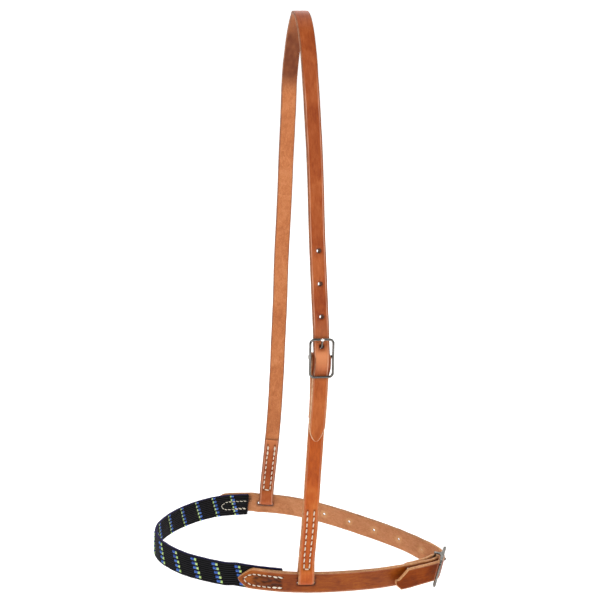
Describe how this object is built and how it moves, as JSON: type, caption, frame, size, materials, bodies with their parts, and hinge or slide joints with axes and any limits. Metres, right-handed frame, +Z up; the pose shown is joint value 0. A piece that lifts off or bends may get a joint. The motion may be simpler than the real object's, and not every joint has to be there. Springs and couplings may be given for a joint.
{
  "type": "bitless hackamore",
  "caption": "Bitless bridle noseband hung from a leather crown strap and buckled cheek strap, with a stiff woven nose band and a buckled leather chin strap.",
  "frame": {"origin": "inside face of the crown strap at its highest point, where it lies over the horse's poll", "axes": "+Z up, +X from the nose towards the chin, +Y towards the far side, away from the side with the cheek buckle"},
  "size_m": [0.3121, 0.1908, 0.583],
  "materials": {
    "crown_leather": "semi-gloss",
    "cheek_leather": "semi-gloss",
    "chin_leather": "satin",
    "nickel": "polished nickel plate",
    "thread": "waxed thread",
    "black_weave": "ribbed weave",
    "blue_yarn": "weave",
    "lime_yarn": "weave"
  },
  "bodies": {
    "hanger": {"crown_strap": "crown_leather", "cheek_strap": "cheek_leather", "far_loop_seam": "thread", "near_loop_seam": "thread", "cheek_buckle_seam": "thread"},
    "crown_tail": {"crown_strap_tail": "crown_leather"},
    "cheek_buckle": {"cheek_buckle_frame": "nickel"},
    "cheek_tongue": {"cheek_buckle_tongue": "nickel"},
    "noseband": {"nose_band": "black_weave", "blue_weft": "blue_yarn", "lime_weft": "lime_yarn", "near_nose_strap": "chin_leather", "chin_billet": "chin_leather", "near_nose_seam": "thread", "far_nose_seam": "thread", "chin_buckle_seam": "thread"},
    "chin_tail": {"chin_billet_tail": "chin_leather"},
    "chin_buckle": {"chin_buckle_frame": "nickel"},
    "chin_tongue": {"chin_buckle_tongue": "nickel"}
  },
  "joints": [
    {"name": "noseband_swing", "type": "hinge", "parent": "hanger", "child": "noseband", "pos_m": [-0.01699, -0.00329, -0.55068], "axis": [-0.2501, 0.9673, 0.041], "range_deg": [-6, 6]},
    {"name": "cheek_buckle_rock", "type": "hinge", "parent": "hanger", "child": "cheek_buckle", "pos_m": [0.01964, -0.07637, -0.32222], "axis": [0.9864, 0.1617, -0.0286], "range_deg": [-1.5, 1.5]},
    {"name": "cheek_tongue_lift", "type": "hinge", "parent": "cheek_buckle", "child": "cheek_tongue", "pos_m": [0.01964, -0.07637, -0.32222], "axis": [0.9864, 0.1617, -0.0286], "range_deg": [0, 4]},
    {"name": "crown_tail_lift", "type": "hinge", "parent": "hanger", "child": "crown_tail", "pos_m": [0.01985, -0.08353, -0.34427], "axis": [-0.9874, -0.1494, 0.0514], "range_deg": [0, 35], "stiffness_Nm_per_rad": 0.02},
    {"name": "chin_buckle_rock", "type": "hinge", "parent": "noseband", "child": "chin_buckle", "pos_m": [0.13983, -0.03649, -0.56337], "axis": [0.0758, -0.0227, 0.9969], "range_deg": [-1.5, 1.5]},
    {"name": "chin_tongue_lift", "type": "hinge", "parent": "chin_buckle", "child": "chin_tongue", "pos_m": [0.13983, -0.03649, -0.56337], "axis": [-0.0758, 0.0227, -0.9969], "range_deg": [0, 4]},
    {"name": "chin_tail_lift", "type": "hinge", "parent": "noseband", "child": "chin_tail", "pos_m": [0.13883, -0.05247, -0.56366], "axis": [0.0758, -0.0227, 0.9969], "range_deg": [0, 35], "stiffness_Nm_per_rad": 0.02}
  ]
}
